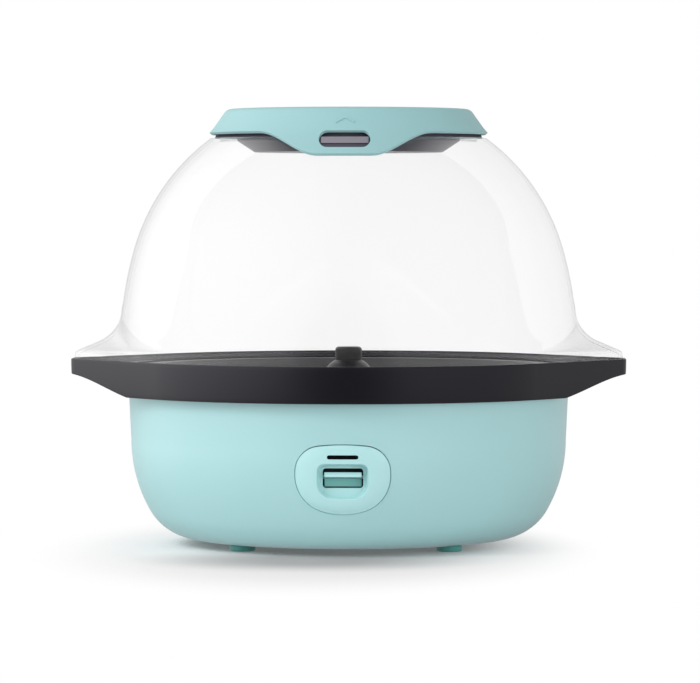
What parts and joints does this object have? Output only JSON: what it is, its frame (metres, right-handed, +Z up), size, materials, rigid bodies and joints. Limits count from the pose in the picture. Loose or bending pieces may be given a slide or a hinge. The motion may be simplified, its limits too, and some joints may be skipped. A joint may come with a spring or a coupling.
{
  "type": "stirring corn popper",
  "caption": "Countertop stirring corn popper: bowl-shaped base with a handle ring, heated dish with motor-driven stirrer, clear dome and hinged pouring cap.",
  "frame": {"origin": "on the floor under the middle of the base", "axes": "+Z up, the controls face -Y, the handles lie along X"},
  "size_m": [0.3324, 0.2784, 0.2606],
  "materials": {
    "housing_teal": "satin-gloss injection-moulded shell",
    "cap_teal": "fine matte texture",
    "foot_teal": "matte moulded foot",
    "ring_black": "satin black moulding",
    "clear_plastic": "polished clear polycarbonate",
    "tray_grey": "dark grey moulding",
    "nonstick_dark": "dark non-stick coating on cast aluminium",
    "black_lens": "gloss black lens",
    "bright_steel": "plain bright steel",
    "galvanised": "zinc-plated sheet",
    "element_steel": "heat-darkened sheath",
    "seal_rubber": "silicone seal",
    "gland_rubber": "black moulded rubber",
    "gear_nylon": "natural nylon",
    "motor_dark": "bonded ferrite",
    "winding_copper": "enamelled winding",
    "ceramic_white": "moulded insulator",
    "hub_black": "heat-resistant moulding",
    "bush_brass": "sintered bush"
  },
  "bodies": {
    "base": {"base_housing": "housing_teal", "control_bezel": "housing_teal", "foot_front_left": "foot_teal", "foot_front_right": "foot_teal", "foot_rear_left": "foot_teal", "foot_rear_right": "foot_teal", "bottom_cover": "housing_teal", "cover_screws": "galvanised", "tie_posts": "bright_steel", "tie_screws": "galvanised", "cord_gland": "gland_rubber", "handle_ring": "ring_black", "heating_plate": "nonstick_dark", "plate_gasket": "seal_rubber", "shaft_bush": "bush_brass", "heating_element": "element_steel", "element_clips": "galvanised", "thermostat": "ceramic_white", "thermal_fuse": "ceramic_white", "heat_shield": "galvanised", "bracket_studs": "bright_steel", "motor_bracket": "galvanised", "bracket_nuts": "galvanised", "gearbox_cup": "motor_dark", "gearbox_lid": "motor_dark", "idler_pin": "bright_steel", "motor_can": "galvanised", "motor_stator": "winding_copper", "lamp_lens": "black_lens", "indicator_lamp": "ceramic_white", "rocker_pin": "bright_steel", "switch_body": "motor_dark"},
    "drive": {"drive_shaft": "bright_steel", "output_gear": "gear_nylon"},
    "idler": {"idler_gear": "gear_nylon"},
    "rotor": {"motor_rotor": "motor_dark"},
    "stirrer": {"stirrer_hub": "hub_black", "stir_rod_left": "bright_steel", "stir_rod_right": "bright_steel"},
    "dome": {"dome_bowl": "clear_plastic", "vent_tray": "tray_grey", "cap_catch": "tray_grey", "hinge_bracket": "tray_grey", "hinge_pin": "bright_steel"},
    "cap": {"top_cap": "cap_teal"},
    "rocker": {"rocker": "housing_teal"}
  },
  "joints": [
    {"name": "dome_lift", "type": "slide", "parent": "base", "child": "dome", "axis": [0, 0, 1], "range_m": [0, 0.15]},
    {"name": "cap_hinge", "type": "hinge", "parent": "dome", "child": "cap", "pos_m": [0, 0.088, 0.2465], "axis": [-1, 0, 0], "range_deg": [0, 105]},
    {"name": "stir_spin", "type": "hinge", "parent": "base", "child": "drive", "pos_m": [0, 0, 0.06], "axis": [0, 0, 1], "continuous": true},
    {"name": "stirrer_lift", "type": "slide", "parent": "drive", "child": "stirrer", "axis": [0, 0, 1], "range_m": [0, 0.03]},
    {"name": "idler_spin", "type": "hinge", "parent": "base", "child": "idler", "pos_m": [0, 0.0192, 0.06], "axis": [0, 0, 1], "continuous": true},
    {"name": "rotor_spin", "type": "hinge", "parent": "base", "child": "rotor", "pos_m": [0, 0.0384, 0.045], "axis": [0, 0, 1], "continuous": true},
    {"name": "rocker_tilt", "type": "hinge", "parent": "base", "child": "rocker", "pos_m": [0, -0.1204, 0.0474], "axis": [-1, 0, 0], "range_deg": [0, 16]}
  ],
  "couplings": [
    {"joint": "idler_spin", "follows": "stir_spin", "ratio": -3},
    {"joint": "rotor_spin", "follows": "stir_spin", "ratio": 9}
  ]
}
